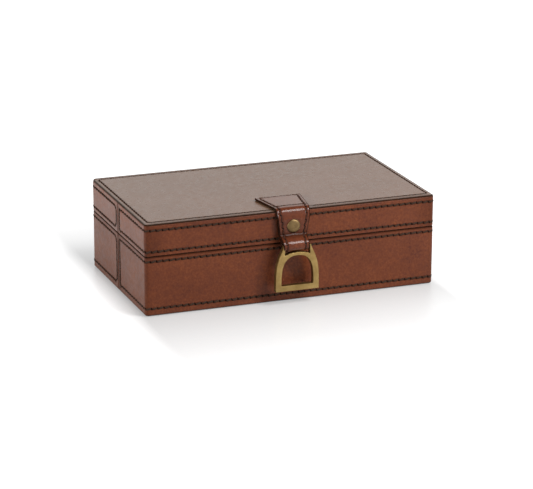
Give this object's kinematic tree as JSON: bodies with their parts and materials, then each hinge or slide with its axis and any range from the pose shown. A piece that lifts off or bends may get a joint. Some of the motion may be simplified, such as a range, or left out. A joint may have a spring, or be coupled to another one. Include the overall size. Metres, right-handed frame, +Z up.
{
  "type": "keepsake box",
  "caption": "Low rectangular leather-covered box with a hinged lid and a front strap ending in a brass stirrup pull.",
  "frame": {"origin": "middle of the flat underside on which the box stands", "axes": "+Z up, -Y out of the strap side, +X to the right along the width for someone who faces the strap"},
  "size_m": [0.266, 0.1706, 0.0836],
  "materials": {
    "wrap_leather": "burnished brown hide with fine mottled grain, half gloss",
    "top_leather": "polished brown hide, glossy, with a dark edge",
    "strap_leather": "glossy reddish brown hide with dark painted edges",
    "underside_leather": "plain dark brown hide, dull",
    "suede_lining": "soft brown suede",
    "board": "raw fibre board, hidden under leather and lining",
    "brass": "satin antique brass"
  },
  "bodies": {
    "base": {"base_bottom_board": "board", "base_floor_lining": "suede_lining", "base_front_board": "board", "base_front_leather": "wrap_leather", "base_front_lining": "suede_lining", "base_left_board": "board", "base_left_lining": "suede_lining", "base_rear_board": "board", "base_rear_leather": "wrap_leather", "base_rear_lining": "suede_lining", "base_right_board": "board", "base_right_lining": "suede_lining", "base_underside_leather": "underside_leather", "hinge_left_base_leaf": "brass", "hinge_left_base_screw_1": "brass", "hinge_left_base_screw_2": "brass", "hinge_right_base_leaf": "brass", "hinge_right_base_screw_1": "brass", "hinge_right_base_screw_2": "brass"},
    "lid": {"hinge_left_lid_leaf": "brass", "hinge_left_lid_screw_1": "brass", "hinge_left_lid_screw_2": "brass", "hinge_left_pin": "brass", "hinge_right_lid_leaf": "brass", "hinge_right_lid_screw_1": "brass", "hinge_right_lid_screw_2": "brass", "hinge_right_pin": "brass", "lid_front_board": "board", "lid_front_leather": "wrap_leather", "lid_front_lining": "suede_lining", "lid_left_board": "board", "lid_left_lining": "suede_lining", "lid_rear_board": "board", "lid_rear_leather": "wrap_leather", "lid_rear_lining": "suede_lining", "lid_right_board": "board", "lid_right_lining": "suede_lining", "lid_top_board": "board", "lid_top_leather": "top_leather", "lid_top_lining": "suede_lining", "strap_top": "strap_leather"},
    "tab": {"strap_tab": "strap_leather", "rivet": "brass"},
    "stirrup": {"stirrup": "brass"}
  },
  "joints": [
    {"name": "lid_hinge", "type": "hinge", "parent": "base", "child": "lid", "pos_m": [0, 0.0787, 0.0534], "axis": [-1, 0, 0], "range_deg": [0, 100]},
    {"name": "strap_flex", "type": "hinge", "parent": "lid", "child": "tab", "pos_m": [0, -0.0773, 0.0788], "axis": [-1, 0, 0], "range_deg": [0, 60]},
    {"name": "stirrup_swing", "type": "hinge", "parent": "tab", "child": "stirrup", "pos_m": [0, -0.08575, 0.052], "axis": [-1, 0, 0], "range_deg": [-9, 105]}
  ]
}
